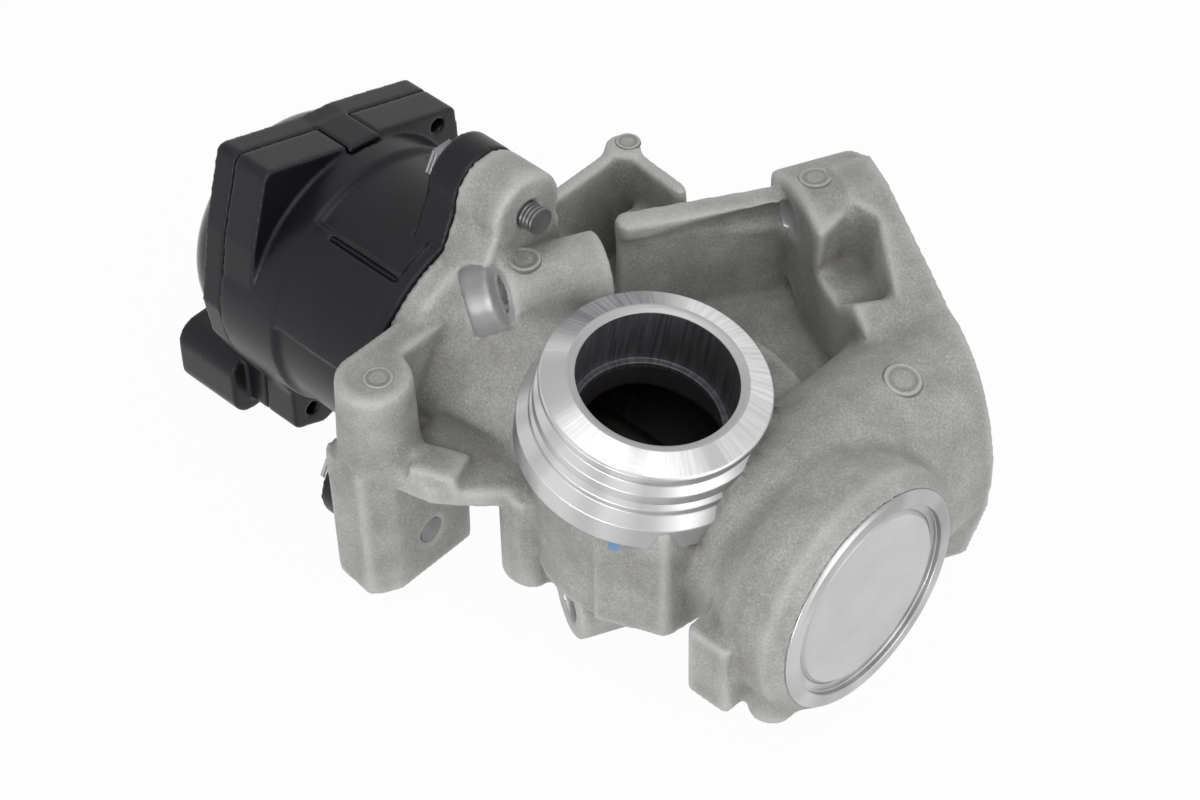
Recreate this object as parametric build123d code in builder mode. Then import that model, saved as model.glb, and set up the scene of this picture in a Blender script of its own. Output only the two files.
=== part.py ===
from build123d import *
import math
import os

# Electric exhaust gas recirculation valve, in millimetres.
# The row frame: the origin is the centre of the gas port on the mounting face,
# +Y points out of that face, +Z is up and +X runs along the face.
# Stations are distances along the valve axis, 0 at the outer face of the end plug
# and negative towards the actuator. The valve axis lies level.

os.makedirs("parts", exist_ok=True)

# Driving dimensions of the layout
axis_lean = 26.0            # valve axis against the mounting face, degrees
plug_x = 37.8               # centre of the end plug in the row frame
plug_y = -32.0
spout_lean = 11.0           # outlet spout against the vertical, degrees
spout_station = -41.9       # centre of the spout's lip
spout_side = -6.8
spout_height = 30.2
travel = 7.0                # full stroke of the valve
fit = 0.06                  # running clearance on a radius
seat_gap = 0.15             # clearance between pieces that are only laid together

# Driving dimensions of the machined interfaces
spout_bore = 14.1           # radii
spout_rim = 20.2
spout_bead = 20.9
spout_collar = 22.9
collar_depth = 18.0         # underside of the collar below the lip
port_bore = 12.0
port_depth = 9.0
bolt_hole = 3.5
upper_bolt_x = -36.0
upper_bolt_z = 20.0
upper_boss_start = -71.0
upper_boss_end = -52.0
lower_bolt_x = 3.1
lower_bolt_z = -20.0
lower_boss_start = -74.0
boss_radius = 7.0
head_space = 6.4            # milled room for the upper bolt's head
head_room = 6.5
plug_radius = 17.0
plug_thickness = 4.0

# Stations of the housing, from the plug to the actuator
seat_face = -29.5
seat_back = -33.5
outlet_end = -66.0
bush_end = -80.0
joint_station = -95.0
chamber_radius = 16.0
seat_bore = 14.5
outlet_radius = 13.0
bush_radius = 6.5
spring_chamber = 12.5

# Actuator
body_radius = 25.5
body_bore = 22.3
front_wall = -102.0
skirt_station = -126.0
seam_station = -134.0
lid_back = -139.0
dome_depth = 15.5
dome_end = lid_back - dome_depth
dome_radius = 24.0
screw_circle = 33.3
screw_radius = 2.5
screw_tip = -81.2
screw_angles = (80, 220, 330)
ear_radius = 8.0
ear_thickness = 7.0

# Moving parts
stem_radius = 3.0
head_radius = 11.6
screw_spindle_radius = 3.5
spindle_end = -127.0
stem_end = -99.6
bearing_outer = 9.0
bearing_inner = 5.0
bearing_width = 4.0
front_bearing_station = -107.5
rear_bearing_station = -133.0
core_start = -127.5
core_end = -111.5
magnet_radius = 13.4
hub_radius = 8.0
stator_bore = 14.0

# Frame of the valve axis
lean = math.radians(axis_lean)
axis_dir = Vector(math.cos(lean), math.sin(lean), 0)
side_dir = Vector(-math.sin(lean), math.cos(lean), 0)
plug_centre = Vector(plug_x, plug_y, 0)
valve_axis = Axis(plug_centre, axis_dir)
level = Plane(origin=plug_centre, x_dir=axis_dir, z_dir=(0, 0, 1))
section = Plane(origin=plug_centre, x_dir=axis_dir, z_dir=-side_dir)
port_station = -(plug_x * math.cos(lean) + plug_y * math.sin(lean))

tilt = math.radians(spout_lean)
spout_dir = axis_dir * math.sin(tilt) + Vector(0, 0, math.cos(tilt))
spout_across = axis_dir * math.cos(tilt) - Vector(0, 0, math.sin(tilt))
spout_centre = (plug_centre + axis_dir * spout_station + side_dir * spout_side
                + Vector(0, 0, spout_height))
spout_axis = Axis(spout_centre, spout_dir)
spout_section = Plane(origin=spout_centre, x_dir=spout_across, z_dir=-side_dir)


def square_at(station):
    """The plane square to the valve axis: local x is sideways, local y is up."""
    return Plane(origin=plug_centre + axis_dir * station, x_dir=side_dir, z_dir=axis_dir)


def wall_plane(y):
    """A plane parallel to the mounting face: local x is row x, local y is up."""
    return Plane(origin=(0, y, 0), x_dir=(1, 0, 0), z_dir=(0, -1, 0))


def turned(plane, *points):
    """A closed outline of (along, radius) points for a revolve."""
    with BuildSketch(plane) as outline:
        with BuildLine():
            Polyline(*points, close=True)
        make_face()
    return outline.sketch


def tube(start, end, inner, outer):
    """The half section of a ring between two stations."""
    return turned(section, (start, inner), (end, inner), (end, outer), (start, outer))


def polar(radius, angle):
    """A point on a plane square to the axis."""
    turn = math.radians(angle)
    return (radius * math.cos(turn), radius * math.sin(turn))


def save(piece, name):
    """Label a finished piece and write its file."""
    piece.part.label = name
    export_step(piece.part, f"parts/{name}.step")


# Die-cast valve housing with its machined spout, port and bores
neck_radius = 19.5
boss_face = 0.8
boss_crest = 21.0
boss_swell = 24.0
flange_thickness = 8.0
shelf_depth = 16.0
casting_floor = -31.0
passage_half_width = 17.5
passage_half_height = 22.0
rounding_step = 0.3
rounding_lap = 1.0
pocket_floor = 17.0
passage_start = Plane(origin=plug_centre + axis_dir * port_station, x_dir=axis_dir,
                      z_dir=side_dir)
column_floor = -12.5
column_radius = 20.2

with BuildPart() as valve_housing:
    barrel = turned(
        section,
        (joint_station, 0),
        (joint_station, 26.0),
        (-90.0, 26.0),
        (-87.5, 22.5),
        (-82.0, neck_radius),
        (-70.0, 18.0),
        (-38.0, 17.2),
        (-24.0, 17.2),
        (-19.0, 18.5),
        (-13.0, boss_swell - 1.2),
        (-8.0, boss_swell),
        (-3.0, boss_swell),
        (boss_face, boss_crest),
        (boss_face, 0),
    )
    revolve(barrel, axis=valve_axis)

    # Cast column under the spout, drawn straight down to the lower bolt boss
    with BuildSketch(level.offset(column_floor)):
        with Locations((-44.5, -6.6)):
            Circle(column_radius)
        with BuildLine():
            Polyline((-26.5, -21.8), (-39.0, -27.2), (-44.0, -6.6), (-24.0, -6.6), close=True)
        make_face()
    extrude(amount=13 - column_floor)
    # Lower wall of the neck beside the column
    with BuildSketch(level.offset(-22)):
        with Locations((-61.5, -13.0)):
            RectangleRounded(10, 23, 4)
    extrude(amount=22)
    # Low drum of the outlet chamber behind the spout
    with BuildSketch(level.offset(-2)):
        with Locations((-50.0, 0)):
            Circle(29.5)
        with Locations((-40, 16)):
            Rectangle(68, 30, mode=Mode.INTERSECT)
    extrude(amount=9)

    # Turned spout: lip, wide chamfer, undercut, shoulder and collar
    spout = turned(
        spout_section,
        (0, 0),
        (spout_bore + 0.8, 0),
        (spout_rim - 0.4, -1.7),
        (spout_rim, -2.1),
        (spout_rim, -3.2),
        (spout_rim - 1.0, -3.9),
        (spout_rim - 1.0, -5.2),
        (spout_bead - 0.3, -6.4),
        (spout_bead - 0.3, -8.5),
        (spout_bead - 1.0, -9.0),
        (spout_bead, -10.0),
        (spout_bead, -11.1),
        (spout_collar, -13.1),
        (spout_collar, -collar_depth),
        (spout_rim - 0.7, -collar_depth - 0.7),
        (spout_rim - 0.7, -26.0),
        (0, -26.0),
    )
    revolve(spout, axis=spout_axis)

    # Mounting flange: a plate with a deep shelf along its top
    with BuildSketch(wall_plane(0)):
        with BuildLine():
            FilletPolyline(
                (-45.5, 12), (-45, 24), (-36, 29.5), (-29, 29.5), (-3, 22.5), (14, 15.5),
                (19.5, 4), (19, -8), (12, -28), (6, -30), (-4, -30), (-10, -22), (-36, 2),
                radius=2.5, close=True,
            )
        make_face()
    extrude(amount=flange_thickness)
    with BuildSketch(wall_plane(0)):
        with BuildLine():
            FilletPolyline(
                (-45.5, 12), (-45, 24), (-36, 28.5), (-29, 28.5), (-3, 21.5), (13, 14.5),
                (17, -8), (-10, -10), (-38, 6),
                radius=1.5, close=True,
            )
        make_face()
    extrude(amount=shelf_depth)

    # Gas passage from the flange to the end chamber, with a rounded end over the chamber
    with BuildSketch(passage_start.offset(-rounding_lap)):
        Ellipse(passage_half_width, passage_half_height)
    extrude(amount=60)
    with BuildSketch(passage_start):
        Ellipse(passage_half_width - rounding_step, passage_half_height - rounding_step)
        with Locations((-passage_half_width, 0)):
            Rectangle(2 * passage_half_width, 3 * passage_half_height, mode=Mode.SUBTRACT)
    revolve(axis=Axis(passage_start.origin, (0, 0, 1)))
    with BuildSketch(Plane(origin=(0, 0, -60), x_dir=(1, 0, 0), z_dir=(0, 0, 1))):
        with Locations((0, 50)):
            Rectangle(200, 100)
    extrude(amount=120, mode=Mode.SUBTRACT)

    # Upper bolt boss beside the spout and lower bolt boss under it
    with BuildSketch(wall_plane(upper_boss_end)):
        with Locations((upper_bolt_x, upper_bolt_z)):
            Circle(boss_radius)
        with Locations((upper_bolt_x, upper_bolt_z - boss_radius)):
            Rectangle(2 * boss_radius - 1, 2 * boss_radius)
    extrude(amount=upper_boss_end - upper_boss_start)
    with BuildSketch(wall_plane(0)):
        with Locations((lower_bolt_x, lower_bolt_z)):
            Circle(boss_radius)
        with Locations((lower_bolt_x, lower_bolt_z + boss_radius)):
            Rectangle(2 * boss_radius - 3, 2 * boss_radius)
    extrude(amount=-lower_boss_start)

    # Web in the parting plane, out to its ridge in front and to the flange behind
    with BuildSketch(level.offset(-3)):
        with BuildLine():
            Polyline((-90, 0), (-90, 38), (-76, 37), (-60, 51), (-30, 40), (-30, 0),
                     (-60, -22), (-65.3, -27.7), (-72.3, -33.1), (-79.4, -34.7),
                     (-89.9, -39.3), (-92, -36), close=True)
        make_face()
    extrude(amount=4.2)
    # Bracket wall at the actuator flange and web up to the mounting flange
    with BuildSketch(level.offset(-2)):
        with BuildLine():
            Polyline((-91.5, 14), (-91.5, 37.5), (-76, 36))
            offset(amount=1.8, side=Side.BOTH)
        make_face()
    extrude(amount=26.5, taper=1)
    with BuildSketch(level.offset(-2)):
        with BuildLine():
            Polyline((-78, 23), (-59.5, 51.5))
            offset(amount=1.8, side=Side.BOTH)
        make_face()
    extrude(amount=26, taper=1)
    # Bead along the web's top edge, round pillar at the bracket's corner and stub beside it
    with BuildSketch(level.offset(20.5)):
        with BuildLine():
            Polyline((-77.5, 23.8), (-60.3, 50.3))
            offset(amount=2.5, side=Side.BOTH)
        make_face()
    extrude(amount=3.2)
    with BuildSketch(level.offset(-2)):
        with Locations((-91, 37)):
            Circle(3.4)
    extrude(amount=27.4)
    with BuildSketch(level.offset(-2)):
        with Locations((-83.5, 33)):
            Circle(4.6)
    extrude(amount=17, taper=6)

    # Ears for the actuator screws
    with BuildSketch(square_at(joint_station)):
        for angle in (screw_angles[0], screw_angles[2]):
            with BuildLine():
                Polyline(polar(22, angle - 32), polar(screw_circle, angle - 13),
                         polar(screw_circle, angle + 13), polar(22, angle + 32), (0, 0),
                         close=True)
            make_face()
            with Locations(polar(screw_circle, angle)):
                Circle(ear_radius)
    extrude(amount=10.5)
    # Left block: the third ear, drawn up and down from the parting plane
    with BuildSketch(level.offset(casting_floor)):
        with BuildLine():
            FilletPolyline((joint_station, -36), (-93, -38), (-84, -39), (-81, -34),
                           (-81, -15), (joint_station, -15), radius=1.5, close=True)
        make_face()
    extrude(amount=-casting_floor, taper=-1)
    with BuildSketch(level):
        with Locations((-86.5, -31.5)):
            Circle(7.6)
        with Locations((-90.0, -22)):
            Rectangle(8, 20)
    extrude(amount=19, taper=2)
    # Diamond pad on the ridge
    with BuildSketch(level.offset(-2)):
        with Locations(Location((-74.3, -28.6, 0), 22)):
            Rectangle(10, 8)
    extrude(amount=6, taper=4)

    # Foot with its square top and the rounded lobe beside it
    with BuildSketch(level.offset(-16)):
        with Locations((-14.0, -21)):
            RectangleRounded(9.5, 9.5, 1.2)
    extrude(amount=16)
    with BuildSketch(level.offset(-19)):
        with Locations((-6.5, -17.0)):
            Circle(4.2)
    extrude(amount=14)
    with BuildSketch(level.offset(-20)):
        with Locations((-12, -9)):
            Rectangle(16, 18)
    extrude(amount=16)

    # Milled joint face towards the actuator
    with BuildSketch(square_at(joint_station)):
        Rectangle(120, 120)
    extrude(amount=-20, mode=Mode.SUBTRACT)

    # Bores of the valve: plug seat, end chamber, seat, outlet, bush and spring chamber
    cavity = turned(
        section,
        (boss_face + 1, 0),
        (boss_face + 1, plug_radius),
        (-plug_thickness, plug_radius),
        (-plug_thickness, chamber_radius),
        (seat_face, chamber_radius),
        (seat_face, seat_bore),
        (seat_back, seat_bore),
        (seat_back, outlet_radius),
        (outlet_end, outlet_radius),
        (outlet_end, bush_radius),
        (bush_end, bush_radius),
        (bush_end, spring_chamber),
        (joint_station - 1, spring_chamber),
        (joint_station - 1, 0),
    )
    revolve(cavity, axis=valve_axis, mode=Mode.SUBTRACT)
    # Step of the turned ring round the plug
    ring_step = tube(-0.4, boss_face + 1, plug_radius, plug_radius + 1.6)
    revolve(ring_step, axis=valve_axis, mode=Mode.SUBTRACT)

    # Spout bore with its inner ledge
    spout_cut = turned(
        spout_section,
        (0, 1), (spout_bore, 1), (spout_bore, -13), (outlet_radius, -13),
        (outlet_radius, -31), (0, -31),
    )
    revolve(spout_cut, axis=spout_axis, mode=Mode.SUBTRACT)

    # Port bore and the passage behind it
    with BuildSketch(wall_plane(0)):
        Circle(port_bore)
    extrude(amount=port_depth, mode=Mode.SUBTRACT)
    with BuildSketch(passage_start):
        Circle(port_bore - 2)
    extrude(amount=42, mode=Mode.SUBTRACT)

    # Bolt holes, and the room milled for the upper bolt's head in front of its boss
    with BuildSketch(wall_plane(1)):
        with Locations((upper_bolt_x, upper_bolt_z)):
            Circle(bolt_hole)
    extrude(amount=1 - upper_boss_start, mode=Mode.SUBTRACT)
    with BuildSketch(wall_plane(upper_boss_start)):
        with Locations((upper_bolt_x, upper_bolt_z)):
            Circle(head_space)
    extrude(amount=head_room, mode=Mode.SUBTRACT)
    with BuildSketch(wall_plane(1)):
        with Locations((lower_bolt_x, lower_bolt_z)):
            Circle(bolt_hole)
    extrude(amount=2 - lower_boss_start, mode=Mode.SUBTRACT)
    # Actuator screw holes
    with BuildSketch(square_at(joint_station - 1)):
        with Locations(*[polar(screw_circle, angle) for angle in screw_angles]):
            Circle(screw_radius)
    extrude(amount=30, mode=Mode.SUBTRACT)

    # Pocket in the shelf of the flange, wider at its mouth and open towards the spout
    with BuildSketch(Plane.XY.offset(pocket_floor)):
        with BuildLine():
            Polyline((-22.5, -17.5), (-24.5, -9.5), (-22, -6.8), (-10.5, -8.6), (-15.8, -17.5),
                     close=True)
        make_face()
    with BuildSketch(Plane.XY.offset(30)):
        with BuildLine():
            Polyline((-21, -17.5), (-27, -7.5), (-23, -4), (-3, -7.5), (1, -17.5), close=True)
        make_face()
    loft(mode=Mode.SUBTRACT)

save(valve_housing, "valve_housing")

# Pressed end plug, seat ring, stem bush and stem seal
with BuildPart() as end_plug:
    plug_section = turned(
        section,
        (-plug_thickness, 0), (-plug_thickness, plug_radius), (-0.6, plug_radius),
        (0, plug_radius - 0.6), (0, 0),
    )
    revolve(plug_section, axis=valve_axis)
save(end_plug, "end_plug")

seat_radius = 10.0
with BuildPart() as seat_ring:
    seat_section = turned(
        section,
        (seat_back, seat_radius), (seat_face - 1.0, seat_radius), (seat_face, seat_radius + 1.0),
        (seat_face, seat_bore), (seat_back, seat_bore),
    )
    revolve(seat_section, axis=valve_axis)
save(seat_ring, "seat_ring")

with BuildPart() as stem_bush:
    revolve(tube(bush_end, outlet_end, stem_radius + fit, bush_radius), axis=valve_axis)
save(stem_bush, "stem_bush")

seal_length = 3.0
with BuildPart() as stem_seal:
    seal_section = turned(
        section,
        (bush_end, stem_radius + fit), (bush_end, bush_radius - 0.2),
        (bush_end - seal_length, bush_radius - 0.8), (bush_end - seal_length, 4.6),
        (bush_end - seal_length + 1.4, 4.2), (bush_end - seal_length + 1.0, stem_radius + fit),
    )
    revolve(seal_section, axis=valve_axis)
save(stem_seal, "stem_seal")

# Poppet valve: head, stem, spring retainer and keeper, with the return spring
head_cone = seat_face - 0.9
head_back = head_cone + (head_radius - seat_radius - 0.1 + seat_gap)
with BuildPart() as poppet_head:
    head_section = turned(
        section,
        (head_cone - 5.5, stem_radius), (head_cone - 5.5, 4.8), (head_cone - 1.0, 6.2),
        (head_cone, seat_radius + 0.1 - seat_gap),
        (head_back, head_radius), (head_back + 2.0, head_radius), (head_back + 2.0, stem_radius),
    )
    revolve(head_section, axis=valve_axis)
save(poppet_head, "poppet_head")

groove_radius = 2.3
keeper_station = stem_end + 1.6
keeper_thickness = 0.8
with BuildPart() as valve_stem:
    stem_section = turned(
        section,
        (stem_end, 0), (stem_end, stem_radius - 0.4), (stem_end + 0.4, stem_radius),
        (keeper_station, stem_radius), (keeper_station, groove_radius),
        (keeper_station + keeper_thickness, groove_radius),
        (keeper_station + keeper_thickness, stem_radius), (head_back + 2.0, stem_radius),
        (head_back + 2.0, stem_radius + 1.4), (head_back + 2.8, stem_radius + 0.6),
        (head_back + 2.8, 0),
    )
    revolve(stem_section, axis=valve_axis)
save(valve_stem, "valve_stem")

with BuildPart() as stem_keeper:
    revolve(tube(keeper_station, keeper_station + keeper_thickness, groove_radius, 5.2),
            axis=valve_axis)
    with BuildSketch(square_at(keeper_station)):
        with Locations((4, 0)):
            Rectangle(8, 2 * groove_radius - 0.6)
    extrude(amount=keeper_thickness, mode=Mode.SUBTRACT)
save(stem_keeper, "stem_keeper")

retainer_station = keeper_station + keeper_thickness
retainer_radius = 10.8
spring_seat = retainer_station + 1.3
with BuildPart() as spring_retainer:
    retainer_section = turned(
        section,
        (retainer_station, stem_radius), (retainer_station, retainer_radius),
        (spring_seat + 1.0, retainer_radius), (spring_seat + 1.0, retainer_radius - 0.8),
        (spring_seat, retainer_radius - 0.9), (spring_seat, stem_radius),
    )
    revolve(retainer_section, axis=valve_axis)
save(spring_retainer, "spring_retainer")

wire_radius = 0.8
coil_radius = 8.6
coil_turns = 4
coil_length = bush_end - spring_seat - 2 * wire_radius
with BuildPart() as return_spring:
    coil_start = square_at(spring_seat + wire_radius)
    coil = Helix(coil_length / coil_turns, coil_length, coil_radius).moved(coil_start.location)
    with BuildSketch(Plane(origin=coil @ 0, z_dir=coil % 0)):
        Circle(wire_radius)
    sweep(path=coil, is_frenet=True)
save(return_spring, "return_spring")

# Actuator body with its ears, skirt and front wall
panel_rise = 1.0
panel_top = 120.5
panel_bottom = 169.0
panel_start = joint_station - 3.2
slot_length = 17.0
tab_width = 7.4
tab_thickness = 1.5
tab_reach = 8.8
tab_turn = -9.1
body_step = 1.1
wall_back = front_wall - 3.0
guide_thickness = 1.5
pocket_ring = bearing_outer + 3.0
recess_radius = 12.0
skirt_outline = [
    (28.4, 19.7), (8.5, 26.2), (1.0, 27.4), (-18.5, 33.5), (-23.4, 17.4), (-26.6, 0.6),
    (-25.2, -8.6), (-18.2, -22.4), (-18.2, -31.8), (-11.0, -35.0), (8.0, -29.5),
    (24.0, -14.5), (29.3, 6.7),
]


def lid_outline(station, inset=0.0):
    """The many-sided outline of the lid and the skirt under it."""
    with BuildSketch(square_at(station)) as outline:
        with BuildLine():
            FilletPolyline(*skirt_outline, radius=1.6, close=True)
        make_face()
        if inset > 0:
            offset(amount=-inset, mode=Mode.REPLACE)
    return outline.sketch


with BuildPart() as actuator_body:
    body_section = turned(
        section,
        (joint_station, recess_radius), (joint_station, body_radius + body_step),
        (joint_station - 2.6, body_radius + body_step), (joint_station - 3.4, body_radius),
        (skirt_station + 7.0, body_radius), (skirt_station + 6.2, body_radius + body_step),
        (seam_station, body_radius + body_step), (seam_station, body_bore),
        (wall_back, body_bore), (wall_back, pocket_ring), (front_bearing_station, pocket_ring),
        (front_bearing_station, bearing_outer), (front_wall, bearing_outer),
        (front_wall, recess_radius),
    )
    revolve(body_section, axis=valve_axis)
    with BuildSketch(square_at(joint_station)):
        for angle in screw_angles:
            with BuildLine():
                Polyline(polar(body_radius, angle - 24), polar(screw_circle, angle - 13.5),
                         polar(screw_circle, angle + 13.5), polar(body_radius, angle + 24),
                         close=True)
            make_face()
            with Locations(polar(screw_circle, angle)):
                Circle(ear_radius)
        Circle(body_radius - 1, mode=Mode.SUBTRACT)
        with Locations(*[polar(screw_circle, angle) for angle in screw_angles]):
            Circle(screw_radius + 1.2, mode=Mode.SUBTRACT)
    extrude(amount=-ear_thickness)
    # Skirt under the lid, hollow round the barrel, with its lobes left solid
    extrude(lid_outline(seam_station), amount=skirt_station - seam_station)
    with BuildSketch(square_at(skirt_station)):
        add(lid_outline(skirt_station, 2.2))
        Circle(body_radius + body_step + 0.2, mode=Mode.SUBTRACT)
        for x, y in ((22, 17), (-12, -28), (20, -14)):
            with Locations((x, y)):
                Rectangle(17, 15, mode=Mode.SUBTRACT)
    extrude(amount=-5.5, mode=Mode.SUBTRACT)
    with BuildSketch(square_at(skirt_station)):
        with Locations((23.4, 18.2), (-13.6, -29.4)):
            Circle(1.4)
    extrude(amount=-5.0, mode=Mode.SUBTRACT)
    with BuildSketch(square_at(seam_station)):
        Circle(body_bore)
    extrude(amount=12, mode=Mode.SUBTRACT)
    # Raised panel along the side of the barrel, with a slot under its upper edge
    with BuildSketch(square_at(panel_start)):
        Circle(body_radius + panel_rise)
        Circle(body_radius - 1, mode=Mode.SUBTRACT)
        with BuildLine():
            Polyline((0, 0), polar(40, panel_top), polar(40, (panel_top + panel_bottom) / 2),
                     polar(40, panel_bottom), close=True)
        make_face(mode=Mode.INTERSECT)
    extrude(amount=skirt_station - panel_start)
    with BuildSketch(square_at(panel_start)):
        with Locations(Location((*polar(body_radius + panel_rise, panel_top + 2.2), 0),
                                panel_top)):
            Rectangle(2.4, 1.1)
    extrude(amount=-slot_length, mode=Mode.SUBTRACT)
    # Notch for the lid's snap tab
    with BuildSketch(square_at(seam_station)):
        with Locations(Location((4.73, 26.68, 0), tab_turn)):
            Rectangle(tab_width + 0.5, 2 * tab_thickness)
    extrude(amount=tab_reach + 0.3, mode=Mode.SUBTRACT)
    # Groove for the seal at the joint
    revolve(tube(joint_station - 1.4, joint_station, 18.0, 20.2), axis=valve_axis,
            mode=Mode.SUBTRACT)
save(actuator_body, "actuator_body")

with BuildPart() as actuator_gasket:
    revolve(tube(joint_station - 1.4, joint_station, 18.0, 20.2), axis=valve_axis)
save(actuator_gasket, "actuator_gasket")

with BuildPart() as screw_sleeves:
    with BuildSketch(square_at(joint_station)):
        with Locations(*[polar(screw_circle, angle) for angle in screw_angles]):
            Circle(screw_radius + 1.2)
            Circle(screw_radius + 0.3, mode=Mode.SUBTRACT)
    extrude(amount=-ear_thickness)
save(screw_sleeves, "screw_sleeves")

head_height = 3.2
with BuildPart() as actuator_screws:
    with BuildSketch(square_at(joint_station - ear_thickness)):
        with Locations(*[polar(screw_circle, angle) for angle in screw_angles]):
            Circle(5.0)
    extrude(amount=-0.9)
    with BuildSketch(square_at(joint_station - ear_thickness - 0.9)):
        with Locations(*[polar(screw_circle, angle) for angle in screw_angles]):
            RegularPolygon(4.2, 6)
    extrude(amount=-head_height)
    with BuildSketch(square_at(joint_station - ear_thickness)):
        with Locations(*[polar(screw_circle, angle) for angle in screw_angles]):
            Circle(screw_radius)
    extrude(amount=screw_tip - joint_station + ear_thickness)
save(actuator_screws, "actuator_screws")

# Lid with its dome, snap tab and connector shroud
lid_wall = 2.2
tab_root = 0.8
board_back = -142.0
board_radius = 20.0
cavity_radius = 21.5
inner_dome = 18.5
shroud_y = -9.5
shroud_z = -27.5
shroud_width = 25.0
shroud_height = 15.0
shroud_floor = -143.5
pin_pitch = 3.6
pin_count = 5


def dome_section(radius, start, end):
    """Half section of a flattened dome from its rim at start to its crown at end."""
    depth = start - end
    with BuildSketch(section) as outline:
        with BuildLine():
            Line((start, 0), (start, radius))
            Spline((start, radius), (start - 0.5 * depth, 0.866 * radius),
                   (start - 0.866 * depth, 0.5 * radius), (end, 0), tangents=[(-1, 0), (0, -1)])
            Line((end, 0), (start, 0))
        make_face()
    return outline.sketch


with BuildPart() as actuator_lid:
    extrude(lid_outline(seam_station), amount=lid_back - seam_station)
    revolve(dome_section(dome_radius, lid_back, dome_end), axis=valve_axis)
    # Connector shroud, its socket opening away from the housing
    with BuildSketch(square_at(lid_back)):
        with Locations((shroud_y, shroud_z)):
            RectangleRounded(shroud_width, shroud_height, 4.5)
    extrude(amount=dome_end - lid_back)
    with BuildSketch(square_at(lid_back)):
        with Locations((-14.5, -27.0)):
            Rectangle(7, 13)
    extrude(amount=-6)
    with BuildSketch(square_at(dome_end)):
        with Locations((shroud_y, shroud_z - 0.4)):
            RectangleRounded(shroud_width - 4, shroud_height - 3.6, 3)
    extrude(amount=shroud_floor - dome_end, mode=Mode.SUBTRACT)
    # Snap tab, rooted in the lid and lying flush in the notch of the skirt
    with BuildSketch(square_at(seam_station - tab_root)):
        with Locations(Location((4.65, 26.18, 0), tab_turn)):
            Rectangle(tab_width, tab_thickness)
    extrude(amount=tab_reach + tab_root)
    # Room for the circuit board and the turning magnet
    room = turned(
        section,
        (seam_station + 1, 0), (seam_station + 1, cavity_radius), (board_back, cavity_radius),
        (board_back, 0),
    )
    revolve(room, axis=valve_axis, mode=Mode.SUBTRACT)
    revolve(dome_section(inner_dome, board_back, dome_end + lid_wall), axis=valve_axis,
            mode=Mode.SUBTRACT)
    # Groove for the lid seal
    revolve(tube(seam_station - 1.2, seam_station, 22.4, 24.0), axis=valve_axis,
            mode=Mode.SUBTRACT)
    # Slots of the connector pins
    with BuildSketch(square_at(shroud_floor)):
        with Locations((shroud_y, shroud_z - 0.4)):
            with GridLocations(pin_pitch, 1, pin_count, 1):
                Rectangle(0.8, 1.6)
    extrude(amount=2.5, mode=Mode.SUBTRACT)
save(actuator_lid, "actuator_lid")

with BuildPart() as lid_gasket:
    revolve(tube(seam_station - 1.2, seam_station, 22.4, 24.0), axis=valve_axis)
save(lid_gasket, "lid_gasket")

with BuildPart() as connector_pins:
    with BuildSketch(square_at(shroud_floor + 2.5)):
        with Locations((shroud_y, shroud_z - 0.4)):
            with GridLocations(pin_pitch, 1, pin_count, 1):
                Rectangle(0.8, 1.6)
    extrude(amount=-10.0)
save(connector_pins, "connector_pins")

# Control parts on the board
board_thickness = 1.6
with BuildPart() as circuit_board:
    with BuildSketch(square_at(board_back)):
        Circle(board_radius)
        with Locations((0, -board_radius)):
            Rectangle(12, 5, mode=Mode.SUBTRACT)
    extrude(amount=board_thickness)
save(circuit_board, "circuit_board")

with BuildPart() as hall_sensor:
    with BuildSketch(square_at(board_back + board_thickness)):
        Rectangle(5.0, 4.2)
    extrude(amount=1.5)
save(hall_sensor, "hall_sensor")

# Guide plate, bearings and bearing plate
flat_half = 2.8
with BuildPart() as guide_plate:
    revolve(tube(front_wall - guide_thickness, front_wall, 0, bearing_outer), axis=valve_axis)
    with BuildSketch(square_at(front_wall - guide_thickness)):
        Circle(screw_spindle_radius + fit)
        Rectangle(10, 2 * (flat_half + fit), mode=Mode.INTERSECT)
    extrude(amount=guide_thickness, mode=Mode.SUBTRACT)
save(guide_plate, "guide_plate")

ball_radius = 0.95
ball_circle = (bearing_outer + bearing_inner) / 2
ball_count = 9


ball_gap = 0.04
race_gap = 0.55


def race(middle, inner, outer):
    """Half section of a bearing race with its ball groove."""
    with BuildSketch(section) as outline:
        with Locations((middle, (inner + outer) / 2)):
            Rectangle(bearing_width, outer - inner)
        with Locations((middle, ball_circle)):
            Circle(ball_radius + ball_gap, mode=Mode.SUBTRACT)
    return outline.sketch


def bearing(station, name):
    """Outer race, inner race and balls of one ball bearing, as three nodes."""
    middle = station + bearing_width / 2
    with BuildPart() as outer:
        revolve(race(middle, ball_circle + race_gap, bearing_outer), axis=valve_axis)
    save(outer, name + "_outer")
    with BuildPart() as inner:
        revolve(race(middle, bearing_inner, ball_circle - race_gap), axis=valve_axis)
    save(inner, name + "_inner")
    with BuildPart(square_at(middle)) as balls:
        with PolarLocations(ball_circle, ball_count):
            Sphere(ball_radius)
    save(balls, name + "_balls")


bearing(front_bearing_station, "front_bearing")
bearing(rear_bearing_station, "rear_bearing")

with BuildPart() as bearing_plate:
    plate_section = turned(
        section,
        (seam_station, bearing_outer - 1.5), (seam_station, body_bore),
        (seam_station + 2.2, body_bore), (seam_station + 2.2, pocket_ring),
        (rear_bearing_station + bearing_width, pocket_ring),
        (rear_bearing_station + bearing_width, bearing_outer),
        (rear_bearing_station, bearing_outer), (rear_bearing_station, bearing_outer - 1.5),
    )
    revolve(plate_section, axis=valve_axis)
save(bearing_plate, "bearing_plate")

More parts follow.
